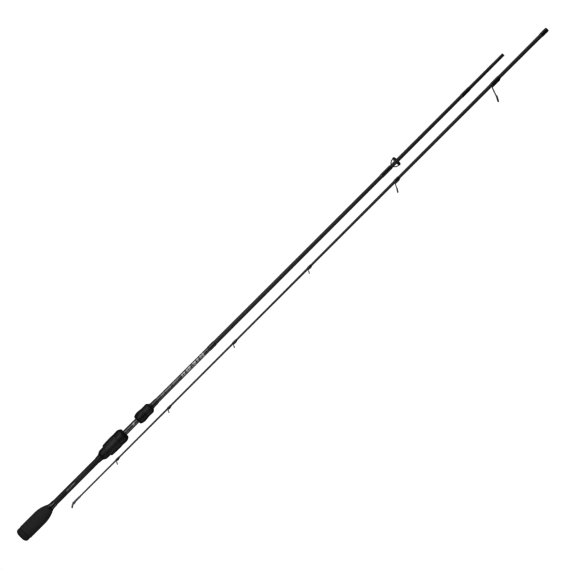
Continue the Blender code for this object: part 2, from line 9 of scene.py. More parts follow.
import bmesh
import bpy
import numpy as np
from mathutils import Matrix, Vector
from mathutils.bvhtree import BVHTree


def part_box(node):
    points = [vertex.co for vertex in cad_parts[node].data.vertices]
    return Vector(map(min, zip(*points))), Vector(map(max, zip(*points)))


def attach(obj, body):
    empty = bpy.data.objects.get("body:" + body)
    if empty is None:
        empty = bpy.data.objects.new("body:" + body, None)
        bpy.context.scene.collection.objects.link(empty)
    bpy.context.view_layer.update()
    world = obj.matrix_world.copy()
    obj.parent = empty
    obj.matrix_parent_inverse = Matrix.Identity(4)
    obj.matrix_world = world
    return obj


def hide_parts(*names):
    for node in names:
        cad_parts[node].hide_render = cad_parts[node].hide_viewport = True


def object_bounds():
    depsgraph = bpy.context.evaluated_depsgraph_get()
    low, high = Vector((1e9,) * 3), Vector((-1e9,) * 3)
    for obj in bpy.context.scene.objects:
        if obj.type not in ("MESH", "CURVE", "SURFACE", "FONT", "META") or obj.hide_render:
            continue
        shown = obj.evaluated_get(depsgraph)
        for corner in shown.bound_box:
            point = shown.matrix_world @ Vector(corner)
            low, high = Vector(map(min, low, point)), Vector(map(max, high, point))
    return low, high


MM = 0.001
ROUND = 64                   # corners of a turned piece
TUBE_ROUND = 48              # corners of the butt blank, a plain wrap and the tip-top's ring
TIP_TUBE_ROUND = 40          # corners of the tip blank
FINE = 32                    # corners of a small tube
WIRE_SIDES = 14
BAND_SIDES = 16              # corners of a guide ring's section
SHARP = 35                   # degrees between faces, from which an edge stays sharp
SHARP_WIRE = 50

# Rays that measure a node keep clear of its edges and its end faces, which they could miss
SKEW = 0.001                 # radians
INSET = 0.01
BLANK_INSET = 0.05
RAY_START = 60.0             # from the axis, outside of everything

# The blanks
BLANK_STEP = 12.0            # between two rings
FERRULE_BORE = 84.0          # depth of the hollow in the butt blank's front end
SOCKET_BORE = 64.0           # depth of the socket in the tip blank

# The blanks' finishes: (place along X in the frame, value), running evenly from one to the next.
# Roughness is that of the clear coat, and paint is the shade under it. On the butt blank the paint is
# paler in the reel gap and the label zone, a painted highlight, and paler from 128 to 146 on the handle.
GLOSS_START = 233.0          # under the moving hood
GLOSS_END = 430.0            # at the wrap that ends the label zone
FERRULE_BARE_START = 1020.0  # where the male ferrule's duller stretch starts
BUTT_ROUGHNESS = [
    (0, 0.75), (GLOSS_START, 0.75), (GLOSS_START + 2, 0.08), (GLOSS_END, 0.08), (GLOSS_END + 10, 0.5),
    (FERRULE_BARE_START, 0.5), (FERRULE_BARE_START + 4, 0.55), (1100, 0.55),
]
# painted highlight: the paler stops in the reel gap and the label zone stand in for the glossy blank's
# bright streaks
BUTT_PAINT_AND_HIGHLIGHT = [
    (0, 0.006), (124, 0.006), (128, 0.02), (146, 0.02), (150, 0.006),
    (GLOSS_START, 0.006), (GLOSS_START + 2, 0.045), (262, 0.045), (300, 0.025),
    (GLOSS_END, 0.025), (GLOSS_END + 10, 0.011), (1100, 0.008),
]
TIP_ROUGHNESS = [(90, 0.5), (1165, 0.5)]
TIP_PAINT = [(90, 0.03), (1165, 0.03)]

# Generic marks in place of print: where each group starts and ends along the butt section, then
# each mark's length, the gap between two, their heights either side of the centre line, the slant
HANDLE_PRINT = (((103.6, 123.0),), 2.6, 0.45, (-1.6, 1.0), 0.2)
SMALL_PRINT = (((317.0, 324.5), (327.0, 339.2), (343.8, 356.6)), 1.9, 0.55, (-0.8, 3.2), 0.2)
LARGE_GROUPS = ((363.0, 371.0), (373.4, 383.4), (388.6, 395.0), (397.4, 401.4), (404.2, 413.0))
LARGE_PRINT = (LARGE_GROUPS, 3.0, 0.8, (-2.8, 2.8), 0.25)
# painted highlight: a pale bar (start, end, low, high, slant) on the brightest spot of the reel gap's glossy
# streak
REEL_GAP_HIGHLIGHT = (252.8, 256.8, -1.6, 2.0, 0.3)
SHORT_MARK = (385.6, 387.6, -2.8, -0.6, 0.25)
MARK_LIFT = 0.03             # of a mark's face above the paint
MARK_ROOT = -0.08            # of its back, which lies in the blank
MARK_ROWS = 6
MARK_COLUMN = 2.0

# Guides: radius of the frame's wire, in millimetres
GUIDE_WIRES = {
    "butt_guide": 0.7, "guide_1": 0.76, "guide_2": 0.64,
    "guide_3": 0.42, "guide_4": 0.42, "guide_5": 0.42, "guide_6": 0.42,
}
HOLDER_DEPTH = 1.6           # of a ring holder along the line, in wire radii
LEG_BEND = 0.4               # where a leg bends, as a share of the way from knee to ring
LEG_BEND_WIDTH = 0.8         # how far out it is there, as a share of the ring's side
LEG_HUG = (-20, -8, 5, 20, 36)    # degrees round the ring where a leg lies against its side
LEG_START = 0.4              # from the wrap's end to where a leg leaves it
LEG_CLEAR = 0.1              # between a leg and the end of its wrap, beyond the wire itself
LEG_TAIL = 2.5               # of a leg under its wrap
LEG_THIN = 0.4               # what is left of the wire at a leg's end, and the share that thins
WRAP_SUNK = 0.05             # of a wrap's inside, into the blank
GLUE_LINE = 0.1              # between the blank and what sits on it
FOOT_WIDTH = 3.0             # of a guide's flat foot, in wire radii

# Caps and sleeves
CAP_HOLLOW = 2.0             # depth of the hollow where the blank ends in the butt cap
SLEEVE_CLEAR = 0.02          # between a sleeve's bore and what it sits on

# Pockets for the reel's foot, in the two hoods
FOOT_HALF_WIDTH = 6.4
FOOT_END_HALF_WIDTH = 5.0
MOVING_POCKET = (12.0, 10.1, 4.0)    # depth, radius, distance from the axis to its flat side
FIXED_POCKET = (12.5, 10.0, 7.2)
POCKET_TAPER = 0.8           # how much smaller its radius is at the inner end
POCKET_OVERRUN = 2.0         # of its cutter, past the hood's mouth
POCKET_STEPS = 24

# The hoods
HOOD_STEP = 0.6              # between two rings
HOOD_BLUR = 1.2              # corners over which a ring is smoothed
ROLL_STEPS = 4
MOVING_BORE = 7.45
FLANGE_RADIUS = 9.0          # of the moving hood's rear end, which the nut's lip holds
FLANGE_LENGTH = 1.8
SPIGOT_RADIUS = 8.4          # of its neck inside the nut
FIXED_HOOD_MOUTH = 263.0
FRONT_BORE = 5.1             # of the fixed hood and the foregrip
TONGUE_HALF_WIDTH = 3.9
TONGUE_LOW = 7.6             # from the axis to the tongue's underside
TONGUE_HIGH = 4.5            # from the axis to the top of its crown

# The lock nut: its neck, and its bores with how deep each goes from the front end
NECK_RADIUS = 9.9            # under the foam sleeve
LIP_BORE, LIP_DEPTH = 8.65, 2.3
CAVITY_BORE, CAVITY_DEPTH = 9.25, 5.8
NUT_THREAD_BORE = 7.45
NUT_BORE = 4.85              # round the blank, at the rear
CONE_LENGTH = 11.8           # from the rear end to the thread
FLUTES = 30
FLUTE_DEPTH = 0.16
FLUTE_START = 12.0           # from the rear end
FLUTE_FADE = 1.2             # length over which a flute runs out

# The seat's thread
THREAD_PITCH = 4.0
THREAD_ROOT = 6.5
THREAD_CREST = 7.2
KEYWAY_HALF_WIDTH = 1.5
KEYWAY_FLOOR = 6.0
BARREL_BORE = 5.3
BARREL_CORNERS = 96
BARREL_STEP = 0.2            # between two rings of the thread

# The tip-top
TIP_TOP_REACH = 6.0          # of the tube past the blank's end
TIP_TOP_RADIUS = 1.5
TIP_TOP_WIRE = 0.5
TIP_TOP_DEPTH = 1.1          # of the ring's holder along the line
BRACE_WIRE = 0.45
BRACE_HUG = (0, 12, 24, 36)  # degrees round the ring where the brace lies against its side

# The camera looks straight down, turned so that the rod runs from corner to corner
CAMERA_AIM = (582.0, -13.8)
CAMERA_TURN = -45.0          # degrees
CAMERA_HEIGHT = 12000.0
CAMERA_WIDTH = 908.4         # millimetres seen across the frame

# Brightness of what the rod mirrors, where the camera sees plain white
FLOOR_MIRRORED = 0.06
SKY_MIRRORED = 0.25
WHITE = 1.02                 # as the camera sees both, a little over white
FLOOR_SIZE = 60.0            # metres
FLOOR_DROP = 0.002           # metres below the lowest piece
CONTRAST = 0.56              # gamma of the picture

# Softboxes: where each aims along X, its place from there and its size, in metres, then its watts
HANDLE_AIM = -0.26
TIP_AIM = 1.05
SOFTBOXES = (
    ("key", HANDLE_AIM, (0, 0.97, 1.7), (2.1, 1.5), 60.0),
    ("fill", HANDLE_AIM, (0, -1.8, 0.8), (2.4, 1.2), 38.0),
    ("side", TIP_AIM, (0, 1.7, 0.6), (1.6, 0.8), 24.0),
)

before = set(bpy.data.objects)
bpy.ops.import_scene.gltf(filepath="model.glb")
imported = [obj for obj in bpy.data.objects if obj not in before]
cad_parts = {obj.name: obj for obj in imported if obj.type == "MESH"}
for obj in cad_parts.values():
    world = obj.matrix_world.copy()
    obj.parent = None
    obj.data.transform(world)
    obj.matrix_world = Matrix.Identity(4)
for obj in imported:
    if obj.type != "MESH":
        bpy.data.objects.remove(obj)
cad_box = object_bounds()


# ---------------------------------------------------------------- measuring the frame

class Section:
    """One of the rod's two sections: its body, its blank, and the way from its axis to the frame."""

    def __init__(self, body, blank, matrix):
        self.body = body
        self.blank = blank
        self.to_frame = matrix @ Matrix.Scale(MM, 4)
        self.from_frame = self.to_frame.inverted()
        self.trees = {}

    def points(self, node):
        """The node's vertices on this section's axis, in millimetres."""
        return [self.from_frame @ vertex.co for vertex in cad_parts[node].data.vertices]

    def span(self, node):
        along = [point.x for point in self.points(node)]
        return min(along), max(along)

    def reach(self, node, along, angle, inside=False):
        """Distance from the axis to the node's surface; angle runs from +Y towards +Z."""
        if node not in self.trees:
            faces = [face.vertices[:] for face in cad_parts[node].data.polygons]
            self.trees[node] = BVHTree.FromPolygons(self.points(node), faces)
        arm = Vector((0, cos(angle), sin(angle)))
        spot = Vector((along, 0, 0))
        start, towards = (spot, arm) if inside else (spot + arm * RAY_START, -arm)
        place, normal, face, distance = self.trees[node].ray_cast(start, towards)
        if place is None:
            raise ValueError(f"{node} has no surface at {along}")
        return (place - spot).length

    def girth(self, node, along):
        """The node's radii all round at one place."""
        turns = [2 * pi * step / ROUND + SKEW for step in range(ROUND)]
        return np.array([self.reach(node, along, turn) for turn in turns])

    def radius(self, along):
        """The blank's outer radius."""
        return self.reach(self.blank, along, SKEW)


def tip_matrix():
    """The tip section lies head to tail beside the butt section, turned onto its side."""
    low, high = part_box("tip_blank")
    y, z = (low.y + high.y) / 2, (low.z + high.z) / 2
    return Matrix(((-1, 0, 0, high.x), (0, 0, 1, y), (0, 1, 0, z), (0, 0, 0, 1)))


BUTT = Section("butt_section", "butt_blank", Matrix.Identity(4))
TIP = Section("tip_section", "tip_blank", tip_matrix())


def blurred(values, width, around=False):
    """Values along the first axis, smoothed over about width steps. around is for a closed ring."""
    if width <= 0:
        return values
    reach = int(width * 3) + 1
    weights = np.exp(-0.5 * (np.arange(-reach, reach + 1) / width) ** 2)
    weights /= weights.sum()
    mode = "wrap" if around else "edge"
    pad = [(reach, reach)] + [(0, 0)] * (values.ndim - 1)
    padded = np.pad(values, pad, mode=mode)
    return sum(w * padded[k:k + len(values)] for k, w in enumerate(weights))


def kept_inside(place, start, end, inset):
    """The place, or the nearest one that lies at least inset from both ends."""
    return min(max(place, start + inset), end - inset)


def traced(section, node, start, end, step, soften):
    """The outline of a turned node between two places, with its corners softened: (along, radius)."""
    count = max(3, int(round((end - start) / step)) + 1)
    places = np.linspace(start, end, count)
    radii = [section.reach(node, kept_inside(p, start, end, INSET), SKEW) for p in places]
    radii = blurred(np.array(radii), soften / step)
    return list(zip(places, radii))


# ---------------------------------------------------------------- meshes

def filleted(outline, steps=4):
    """Corners given as (along, radius, size) are rounded over that size."""
    made = []
    for number, corner in enumerate(outline):
        if len(corner) < 3 or corner[2] == 0:
            made.append(corner[:2])
            continue
        here = Vector(corner[:2])
        before = Vector(outline[number - 1][:2]) - here
        after = Vector(outline[(number + 1) % len(outline)][:2]) - here
        one = here + before.normalized() * min(corner[2], before.length * 0.49)
        two = here + after.normalized() * min(corner[2], after.length * 0.49)
        for step in range(steps + 1):
            t = step / steps
            point = one * (1 - t) ** 2 + here * 2 * t * (1 - t) + two * t ** 2
            made.append((point.x, point.y))
    return made


def ring(along, radius, corners=ROUND):
    """A ring of points round the axis. radius is one number, or one for each corner."""
    radii = np.broadcast_to(radius, (corners,))
    turns = [2 * pi * step / corners for step in range(corners)]
    return [Vector((along, r * cos(turn), r * sin(turn))) for turn, r in zip(turns, radii)]


def add_rings(bm, rings, loop=False, capped=False):
    """Quads between neighbouring rings of points. loop joins the last ring to the first."""
    made = [[bm.verts.new(point) for point in points] for points in rings]
    pairs = list(zip(made, made[1:]))
    if loop:
        pairs.append((made[-1], made[0]))
    for one, two in pairs:
        for step in range(len(one)):
            after = (step + 1) % len(one)
            bm.faces.new((one[step], one[after], two[after], two[step]))
    if capped:
        bm.faces.new(made[0])
        bm.faces.new(made[-1])


def add_piece(name, section, bm, material, nodes=(), body=None, sharp=SHARP):
    """Turn a mesh in millimetres into a piece that rides on a body and stands for CAD nodes."""
    bmesh.ops.remove_doubles(bm, verts=bm.verts, dist=0.002)
    bmesh.ops.recalc_face_normals(bm, faces=bm.faces)
    mesh = bpy.data.meshes.new(name)
    bm.to_mesh(mesh)
    bm.free()
    mesh.transform(section.to_frame)
    mesh.shade_smooth()
    mesh.set_sharp_from_angle(angle=radians(sharp))
    mesh.materials.append(material)
    piece = bpy.data.objects.new(name, mesh)
    bpy.context.scene.collection.objects.link(piece)
    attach(piece, body or section.body)
    if nodes:
        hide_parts(*nodes)
    return piece


def lathe(name, section, outline, material, nodes=(), body=None, corners=ROUND):
    """A turned piece from a closed outline of (along, radius) or (along, radius, fillet) points."""
    bm = bmesh.new()
    rings = [ring(along, radius, corners) for along, radius in filleted(outline)]
    closed = outline[0][1] > 0 or outline[-1][1] > 0
    add_rings(bm, rings, loop=closed)
    return add_piece(name, section, bm, material, nodes, body)


def rounded_section(wide, tall, power, sides):
    """Points round an ellipse, which is squarer with a higher power."""
    points = []
    for side in range(sides):
        c, s = cos(2 * pi * side / sides), sin(2 * pi * side / sides)
        a = wide * abs(c) ** (2 / power) * (1 if c > 0 else -1)
        b = tall * abs(s) ** (2 / power) * (1 if s > 0 else -1)
        points.append((a, b))
    return points


def sweep(bm, points, sizes, power=2.0):
    """A capped rod through the points. sizes holds (half width, half height) at each point, and
    the width is kept level with Y."""
    rings = []
    for number, point in enumerate(points):
        before, after = points[max(number - 1, 0)], points[min(number + 1, len(points) - 1)]
        along = (after - before).normalized()
        height = along.cross(Vector((0, 1, 0)))
        height = height.normalized() if height.length > 0.05 else Vector((0, 0, 1))
        width = height.cross(along)
        wide, tall = sizes[number]
        oval = rounded_section(wide, tall, power, WIRE_SIDES)
        rings.append([point + width * a + height * b for a, b in oval])
    add_rings(bm, rings, capped=True)


def add_band(bm, centre, normal, radius, half_width, half_depth, power, corners=ROUND):
    """A ring of rounded section in the plane square to normal."""
    across = Vector((0, 1, 0))
    outward = normal.cross(across)
    loops = []
    for step in range(corners):
        turn = 2 * pi * step / corners
        arm = across * cos(turn) + outward * sin(turn)
        oval = rounded_section(half_width, half_depth, power, BAND_SIDES)
        loops.append([centre + arm * (radius + a) + normal * b for a, b in oval])
    add_rings(bm, loops, loop=True)


# ---------------------------------------------------------------- materials

class Shader:
    """A procedural material under construction, in the object's own coordinates."""

    def __init__(self, name, colour, roughness, metallic=0.0, coat=0.0, coat_roughness=0.03):
        self.material = bpy.data.materials.new(name)
        self.material.use_nodes = True
        self.tree = self.material.node_tree
        self.surface = self.tree.nodes["Principled BSDF"]
        self.material.diffuse_color = (*colour, 1)
        self.set("Base Color", (*colour, 1))
        self.set("Roughness", roughness)
        self.set("Metallic", metallic)
        self.set("Coat Weight", coat)
        self.set("Coat Roughness", coat_roughness)
        self.place = self.node("ShaderNodeTexCoord").outputs["Object"]

    def node(self, kind, **values):
        made = self.tree.nodes.new(kind)
        for key, value in values.items():
            setattr(made, key, value)
        return made

    def set(self, name, value):
        self.surface.inputs[name].default_value = value

    def link(self, output, target):
        socket = self.surface.inputs[target] if isinstance(target, str) else target
        self.tree.links.new(output, socket)

    def stretched(self, scale):
        """Coordinates scaled by different amounts along the three axes."""
        mapping = self.node("ShaderNodeMapping")
        mapping.inputs["Scale"].default_value = scale
        self.link(self.place, mapping.inputs["Vector"])
        return mapping.outputs["Vector"]

    def noise(self, grain, detail=2.0, stretch=(1, 1, 1)):
        """Soft noise whose lumps are about grain millimetres."""
        texture = self.node("ShaderNodeTexNoise")
        texture.inputs["Scale"].default_value = 1 / (grain * MM)
        texture.inputs["Detail"].default_value = detail
        self.link(self.stretched(stretch), texture.inputs["Vector"])
        return texture.outputs["Fac"]

    def cells(self, grain):
        """Closed round cells about grain millimetres across: 0 in the middle, more at the rim."""
        texture = self.node("ShaderNodeTexVoronoi")
        texture.inputs["Scale"].default_value = 1 / (grain * MM)
        self.link(self.place, texture.inputs["Vector"])
        return texture.outputs["Distance"]

    def bands(self, pitch, wander=0.0):
        """Round ridges across the rod, pitch millimetres apart."""
        texture = self.node("ShaderNodeTexWave", wave_type="BANDS", bands_direction="X")
        texture.inputs["Scale"].default_value = pi / (10 * pitch * MM)
        texture.inputs["Distortion"].default_value = wander
        self.link(self.place, texture.inputs["Vector"])
        return texture.outputs["Fac"]

    def along(self, stops):
        """A value read off (along the frame's X in millimetres, value) stops."""
        split = self.node("ShaderNodeSeparateXYZ")
        self.link(self.place, split.inputs[0])
        low, high = stops[0][0], stops[-1][0]
        spread = self.node("ShaderNodeMapRange")
        spread.inputs["From Min"].default_value = low * MM
        spread.inputs["From Max"].default_value = high * MM
        self.link(split.outputs["X"], spread.inputs["Value"])
        ramp = self.node("ShaderNodeValToRGB").color_ramp
        while len(ramp.elements) < len(stops):
            ramp.elements.new(0.5)
        for element, (where, value) in zip(ramp.elements, stops):
            element.position = (where - low) / (high - low)
            element.color = (value, value, value, 1)
        holder = self.tree.nodes[-1]
        self.link(spread.outputs[0], holder.inputs["Fac"])
        return holder.outputs["Color"]

    def mapped(self, value, low, high):
        """A 0 to 1 value spread between two numbers."""
        spread = self.node("ShaderNodeMapRange")
        spread.inputs["To Min"].default_value = low
        spread.inputs["To Max"].default_value = high
        self.link(value, spread.inputs["Value"])
        return spread.outputs[0]

    def blended(self, share, one, two):
        """A colour between two, by a 0 to 1 value."""
        mix = self.node("ShaderNodeMix", data_type="RGBA")
        mix.inputs["A"].default_value = (*one, 1)
        mix.inputs["B"].default_value = (*two, 1)
        self.link(share, mix.inputs["Factor"])
        return mix.outputs["Result"]

    def bump(self, height, depth, strength=1.0, on="Normal"):
        """Relief depth millimetres high, over any relief already there."""
        made = self.node("ShaderNodeBump")
        made.inputs["Strength"].default_value = strength
        made.inputs["Distance"].default_value = depth * MM
        self.link(height, made.inputs["Height"])
        under = self.surface.inputs[on]
        if under.is_linked:
            self.link(under.links[0].from_socket, made.inputs["Normal"])
        self.link(made.outputs["Normal"], on)


def foam_material(name, shade, roughness, shine):
    """Closed-cell foam, cut and ground: fine pits, slightly uneven black."""
    made = Shader(name, (shade,) * 3, roughness)
    made.link(made.blended(made.noise(0.7, detail=3), (shade * 0.7,) * 3, (shade * 1.3,) * 3), "Base Color")
    made.bump(made.cells(0.55), 0.06, 0.8)
    made.bump(made.noise(2.5), 0.08, 0.5)
    made.link(made.mapped(made.noise(4.0), roughness - 0.06, roughness + 0.06), "Roughness")
    made.set("Specular IOR Level", shine)
    return made.material


def rubber_material():
    made = Shader("cap_rubber", (0.03, 0.03, 0.0305), 0.8)
    made.link(made.blended(made.noise(1.4), (0.026, 0.026, 0.0265), (0.036, 0.036, 0.036)), "Base Color")
    made.bump(made.noise(0.3, detail=4), 0.03, 0.7)
    made.link(made.mapped(made.noise(6.0), 0.74, 0.86), "Roughness")
    made.set("Specular IOR Level", 0.3)
    return made.material


def seat_material():
    """Moulded black plastic with a fine satin skin."""
    made = Shader("seat_satin", (0.018, 0.018, 0.0185), 0.42)
    made.link(made.blended(made.noise(9.0), (0.015, 0.015, 0.0155), (0.021, 0.021, 0.0215)), "Base Color")
    made.bump(made.noise(0.18, detail=3), 0.012, 0.8)
    made.link(made.mapped(made.noise(3.0, stretch=(0.2, 1, 1)), 0.38, 0.48), "Roughness")
    made.set("Specular IOR Level", 0.3)
    return made.material


def blank_material(name, coat, roughness_stops, paint_and_highlight_stops):
    """Carbon tube wound with tape and painted black, then clear coated. The stops give the coat's
    roughness along the rod, and the paint's shade, which on the butt blank is paler where it paints
    highlights."""
    made = Shader(name, (0.01,) * 3, 0.5, coat=coat, coat_roughness=0.05)
    fleck = made.noise(0.35, detail=2, stretch=(0.12, 1, 1))
    mix = made.node("ShaderNodeMix", data_type="RGBA", blend_type="MULTIPLY")
    mix.inputs["Factor"].default_value = 1.0
    made.link(made.along(paint_and_highlight_stops), mix.inputs["A"])
    made.link(made.blended(fleck, (0.6,) * 3, (1.4,) * 3), mix.inputs["B"])
    made.link(mix.outputs["Result"], "Base Color")
    made.bump(made.bands(1.6, wander=1.5), 0.006, 0.5)
    made.bump(made.noise(14.0), 0.05, 0.4, on="Coat Normal")
    made.link(made.along(roughness_stops), "Coat Roughness")
    made.set("Specular IOR Level", 0.2)
    return made.material


def wrap_material():
    """Black thread laid side by side under a thick coat of clear epoxy."""
    made = Shader("thread_wrap", (0.006, 0.006, 0.0065), 0.6, coat=0.9, coat_roughness=0.05)
    thread = made.bands(0.17, wander=0.3)
    made.link(made.blended(thread, (0.003, 0.003, 0.003), (0.013, 0.013, 0.014)), "Base Color")
    made.bump(thread, 0.03, 0.8)
    made.bump(made.noise(3.0), 0.06, 0.35, on="Coat Normal")
    made.set("Specular IOR Level", 0.15)
    return made.material


def guide_material():
    """Dark plated wire."""
    made = Shader("guide_plating", (0.09, 0.09, 0.096), 0.3, metallic=1.0)
    made.link(made.blended(made.noise(1.2), (0.07, 0.07, 0.075), (0.12, 0.12, 0.128)), "Base Color")
    made.link(made.mapped(made.noise(0.5), 0.24, 0.38), "Roughness")
    made.bump(made.noise(0.15), 0.006, 0.6)
    return made.material


def ceramic_material():
    made = Shader("ring_ceramic", (0.012, 0.012, 0.013), 0.16, coat=0.4, coat_roughness=0.05)
    grain = made.noise(0.25, detail=3)
    made.link(made.blended(grain, (0.009, 0.009, 0.01), (0.017, 0.017, 0.019)), "Base Color")
    made.bump(made.noise(0.2), 0.002, 0.4)
    return made.material


def print_and_highlight_material(name, shade):
    """Grey marks, a little thin in places: print, and one pale bar that is a painted highlight."""
    made = Shader(name, (shade,) * 3, 0.45, coat=0.6, coat_roughness=0.1)
    made.link(made.blended(made.noise(0.5, detail=3), (shade * 0.7,) * 3, (shade * 1.2,) * 3), "Base Color")
    made.bump(made.noise(0.2), 0.004, 0.5)
    return made.material


FOAM = foam_material("grip_foam", 0.041, 0.88, 0.3)
SATIN_FOAM = foam_material("seat_foam", 0.024, 0.48, 0.35)
RUBBER = rubber_material()
SATIN = seat_material()
BUTT_FINISH_AND_HIGHLIGHT = blank_material("butt_paint_and_highlight", 1.0, BUTT_ROUGHNESS, BUTT_PAINT_AND_HIGHLIGHT)
TIP_FINISH = blank_material("tip_paint", 0.7, TIP_ROUGHNESS, TIP_PAINT)
WRAP = wrap_material()
PLATING = guide_material()
CERAMIC = ceramic_material()
# pale grey, for the slashes' print and for the painted highlight in the reel gap
PALE_PRINT_AND_HIGHLIGHT = print_and_highlight_material("pale_print_and_highlight", 0.24)
GREY_PRINT = print_and_highlight_material("grey_print", 0.11)


# ---------------------------------------------------------------- the blanks

def blank_outline(section, start, end):
    """The blank's outside between two places."""
    places = np.linspace(start, end, max(2, int((end - start) / BLANK_STEP) + 1))
    return [(p, section.radius(kept_inside(p, start, end, BLANK_INSET))) for p in places]


def make_butt_blank():
    start, end = BUTT.span("butt_blank")
    outside = blank_outline(BUTT, start, end)
    plug_start = BUTT.span("ferrule_plug")[0]
    bore = BUTT.reach("butt_blank", plug_start, SKEW, inside=True)
    floor = end - FERRULE_BORE
    inner = [(end, bore, 0.15), (floor, bore), (floor, 0.0)]
    outline = [(start, 0.0)] + outside[:-1] + [(end, outside[-1][1], 0.3)] + inner
    lathe("butt_tube", BUTT, outline, BUTT_FINISH_AND_HIGHLIGHT, ["butt_blank"], corners=TUBE_ROUND)


def make_tip_blank():
    start, end = TIP.span("tip_blank")
    outside = blank_outline(TIP, start, end)
    mouth = TIP.reach("tip_blank", start + BLANK_INSET, SKEW, inside=True)
    floor = TIP.reach("tip_blank", start + SOCKET_BORE - 0.1, SKEW, inside=True)
    outline = [(start + SOCKET_BORE, 0.0), (start + SOCKET_BORE, floor), (start, mouth, 0.12)]
    outline += [(start, outside[0][1], 0.15)] + outside[1:-1] + [(end, outside[-1][1]), (end, 0.0)]
    lathe("tip_tube", TIP, outline, TIP_FINISH, ["tip_blank"], corners=TIP_TUBE_ROUND)


def ring_point(along, radius, turn):
    return Vector((along, radius * cos(turn), radius * sin(turn)))


def rim_of(grid):
    """What lies round the edge of a grid, in order."""
    return grid[0] + [line[-1] for line in grid[1:-1]] + grid[-1][::-1] + [line[0] for line in grid[-2:0:-1]]


def add_mark(bm, start, end, low, high, slant):
    """A slanted bar on the upper side of the butt blank, between two heights in
    millimetres either side of the centre line: print, and in the reel gap a painted highlight."""
    columns = max(2, int((end - start) / MARK_COLUMN) + 1)
    skin = []
    for lift in (MARK_LIFT, MARK_ROOT):
        grid = []
        for column in range(columns + 1):
            line = []
            for row in range(MARK_ROWS + 1):
                height = low + (high - low) * row / MARK_ROWS
                along = start + (end - start) * column / columns + slant * height
                radius = BUTT.radius(along)
                line.append(bm.verts.new(ring_point(along, radius + lift, pi / 2 - height / radius)))
            grid.append(line)
        skin.append(grid)
    for grid in skin:
        for one, two in zip(grid, grid[1:]):
            for row in range(MARK_ROWS):
                bm.faces.new((one[row], one[row + 1], two[row + 1], two[row]))
    top, bottom = rim_of(skin[0]), rim_of(skin[1])
    for step in range(len(top)):
        after = (step + 1) % len(top)
        bm.faces.new((top[step], top[after], bottom[after], bottom[step]))


def make_marks(name, bars, material):
    """bars holds (start, end, low, high, slant) for each bar on the butt section: print, and in the reel gap
    a painted highlight.
    """
    bm = bmesh.new()
    for bar in bars:
        add_mark(bm, *bar)
    add_piece(name, BUTT, bm, material)


def evenly(start, end, length, gap):
    """Starts and ends of equal marks that fill a stretch."""
    count = int((end - start + gap) / (length + gap))
    pitch = (end - start + gap) / count
    return [(start + pitch * n, start + pitch * (n + 1) - gap) for n in range(count)]


def bars_of(groups, length, gap, heights, slant):
    return [(*ends, *heights, slant) for start, end in groups for ends in evenly(start, end, length, gap)]


def make_printed_marks():
    """Generic dashes and slashes where the rod carries its print, and a pale bar in the reel gap that is a
    painted highlight.
    """
    make_marks("handle_marks", bars_of(*HANDLE_PRINT), GREY_PRINT)
    # painted highlight: the pale bar in the reel gap
    make_marks("reel_gap_highlight", [REEL_GAP_HIGHLIGHT], PALE_PRINT_AND_HIGHLIGHT)
    make_marks("small_marks", bars_of(*SMALL_PRINT), GREY_PRINT)
    make_marks("slash_marks", bars_of(*LARGE_PRINT) + [SHORT_MARK], PALE_PRINT_AND_HIGHLIGHT)


# ---------------------------------------------------------------- grips and their checks

def sleeve_outline(section, node, soften, edge, step=0.5, bore=None, closer=(0, 0)):
    """A tube with the node's outside, rounded edges, and a bore on the blank. closer lengthens
    it at its start and its end, to close the gap to its neighbour."""
    start, end = section.span(node)
    outside = traced(section, node, start, end, step, soften)
    start, end = start - closer[0], end + closer[1]
    outside[0], outside[-1] = (start, outside[0][1]), (end, outside[-1][1])
    inner = [(p, bore or section.radius(p) + SLEEVE_CLEAR) for p in (end, start)]
    first, last = outside[0], outside[-1]
    return [(*first, edge)] + outside[2:-2] + [(*last, edge)] + inner


def make_grips():
    start, end = BUTT.span("butt_cap")
    outside = traced(BUTT, "butt_cap", start, end, step=0.25, soften=0.4)
    outline = [(start, 0.0)] + outside[:-3]
    outline += [(end, outside[-1][1], 0.35), (end, BUTT.radius(end)), (end - CAP_HOLLOW, 0.0)]
    lathe("end_cap", BUTT, outline, RUBBER, ["butt_cap"])
    outline = sleeve_outline(BUTT, "butt_grip", soften=1.2, edge=0.6)
    lathe("butt_foam", BUTT, outline, FOAM, ["butt_grip"])
    outline = sleeve_outline(BUTT, "butt_grip_check", soften=0.8, edge=0.3, step=0.25)
    lathe("butt_check", BUTT, outline, WRAP, ["butt_grip_check"])
    outline = sleeve_outline(BUTT, "foregrip", 0.6, 0.08, step=0.3, bore=FRONT_BORE, closer=(0.28, 0))
    lathe("fore_foam", BUTT, outline, SATIN_FOAM, ["foregrip"])
    outline = sleeve_outline(BUTT, "foregrip_check", soften=0.5, edge=0.2, step=0.25)
    lathe("fore_check", BUTT, outline, WRAP, ["foregrip_check"])


# ---------------------------------------------------------------- the reel seat

def cut_pocket(piece, mouth, pocket, towards):
    """Cut the space for one end of the reel's foot into a hood, from outside its mouth."""
    depth, radius, level = pocket
    sections = []
    for along, outer, half in (
        (mouth - towards * POCKET_OVERRUN, radius, FOOT_HALF_WIDTH),
        (mouth + towards * depth, radius - POCKET_TAPER, FOOT_END_HALF_WIDTH),
    ):
        spread = atan2(half, (outer ** 2 - half ** 2) ** 0.5)
        points = [Vector((along, half, -level)), Vector((along, -half, -level))]
        for turn in np.linspace(-spread, spread, POCKET_STEPS):
            points.append(Vector((along, outer * sin(turn), -outer * cos(turn))))
        sections.append(points)
    bm = bmesh.new()
    add_rings(bm, sections, capped=True)
    cut_away(piece, bm)


